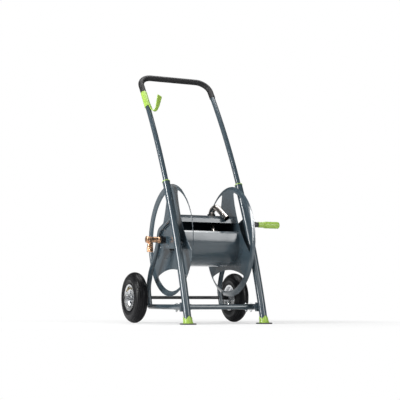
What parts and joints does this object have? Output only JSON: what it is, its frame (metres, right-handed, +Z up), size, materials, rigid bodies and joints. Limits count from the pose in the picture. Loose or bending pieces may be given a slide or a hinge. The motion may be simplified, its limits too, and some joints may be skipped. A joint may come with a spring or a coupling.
{
  "type": "garden hose reel cart",
  "caption": "Wheeled hose reel cart with a bowed tube frame, a telescoping handle, a crank-driven drum between pressed flanges, a swivel water inlet and a bent outlet pipe.",
  "frame": {"origin": "on the ground, midway between the two front feet", "axes": "+Z up, +X towards the crank, +Y from the feet towards the wheels"},
  "size_m": [0.7055, 0.6898, 1.2851],
  "materials": {
    "grey_powder_coat": "satin blue-grey powder coat",
    "lime_plastic": "moulded lime-green plastic",
    "dark_rubber": "dark grey moulded rubber",
    "black_plastic": "black moulded plastic",
    "grip_foam": "soft black grip sleeve with a fine pebble grain",
    "zinc_steel": "bright zinc-plated steel",
    "dark_steel": "black coated steel",
    "polished_pipe": "polished nickel-plated pipe",
    "brass": "turned yellow-red brass",
    "tyre_rubber": "black tyre rubber with a fine block tread",
    "rim_steel": "silver-coated pressed steel",
    "valve_brass": "small valve stem with a dark cap"
  },
  "bodies": {
    "frame": {"axle_nuts": "zinc_steel", "axle_rod": "dark_steel", "axle_spacers": "dark_steel", "bearing_plate_left": "grey_powder_coat", "bearing_plate_right": "grey_powder_coat", "bearing_screws": "zinc_steel", "corner_socket_left": "grey_powder_coat", "corner_socket_right": "grey_powder_coat", "foot_cup_left": "lime_plastic", "foot_cup_right": "lime_plastic", "foot_pad_left": "dark_rubber", "foot_pad_right": "dark_rubber", "frame_bolts": "zinc_steel", "front_crossbar": "grey_powder_coat", "leg_collar_left": "lime_plastic", "leg_collar_right": "lime_plastic", "leg_left": "grey_powder_coat", "leg_right": "grey_powder_coat", "rear_strut_left": "grey_powder_coat", "rear_strut_right": "grey_powder_coat", "reel_bearing_left": "black_plastic", "reel_bearing_right": "black_plastic", "side_rail_left": "grey_powder_coat", "side_rail_right": "grey_powder_coat"},
    "handle": {"grip_sleeve": "grip_foam", "handle_guides": "black_plastic", "handle_tube": "grey_powder_coat", "hose_hook": "lime_plastic"},
    "reel": {"reel_drum": "grey_powder_coat", "reel_flange_left": "grey_powder_coat", "reel_flange_right": "grey_powder_coat", "reel_spindle": "dark_steel", "reel_hub_left": "black_plastic", "reel_hub_right": "black_plastic", "hub_screws": "zinc_steel", "drum_screws": "zinc_steel", "outlet_gooseneck": "polished_pipe", "feed_block": "dark_steel", "outlet_nut": "polished_pipe", "crank_arm": "dark_steel", "crank_bolt": "zinc_steel", "crank_pin": "zinc_steel", "swivel_nut": "dark_steel"},
    "crank_grip": {"crank_collar": "black_plastic", "crank_grip": "lime_plastic"},
    "inlet": {"inlet_elbow": "brass"},
    "coupling": {"inlet_coupling": "brass"},
    "wheel_left": {"tyre_left": "tyre_rubber", "rim_outer_left": "rim_steel", "rim_inner_left": "rim_steel", "wheel_hub_left": "zinc_steel", "wheel_bearings_left": "zinc_steel", "tyre_valve_left": "valve_brass"},
    "wheel_right": {"tyre_right": "tyre_rubber", "rim_outer_right": "rim_steel", "rim_inner_right": "rim_steel", "wheel_hub_right": "zinc_steel", "wheel_bearings_right": "zinc_steel", "tyre_valve_right": "valve_brass"}
  },
  "joints": [
    {"name": "handle_telescope", "type": "hinge", "parent": "frame", "child": "handle", "pos_m": [0, 3.50352, -0.96503], "axis": [1, 0, 0], "range_deg": [0, 5.5]},
    {"name": "reel_turn", "type": "hinge", "parent": "frame", "child": "reel", "pos_m": [0, 0.295, 0.403], "axis": [1, 0, 0], "continuous": true},
    {"name": "crank_grip_turn", "type": "hinge", "parent": "reel", "child": "crank_grip", "pos_m": [0.25, 0.18497, 0.48294], "axis": [1, 0, 0], "continuous": true},
    {"name": "inlet_swivel", "type": "hinge", "parent": "frame", "child": "inlet", "pos_m": [-0.2145, 0.295, 0.403], "axis": [1, 0, 0], "continuous": true},
    {"name": "coupling_turn", "type": "hinge", "parent": "inlet", "child": "coupling", "pos_m": [-0.267, 0.295, 0.363], "axis": [0, 0, 1], "continuous": true},
    {"name": "wheel_left_roll", "type": "hinge", "parent": "frame", "child": "wheel_left", "pos_m": [-0.275, 0.477, 0.125], "axis": [1, 0, 0], "continuous": true},
    {"name": "wheel_right_roll", "type": "hinge", "parent": "frame", "child": "wheel_right", "pos_m": [0.275, 0.477, 0.125], "axis": [1, 0, 0], "continuous": true}
  ]
}
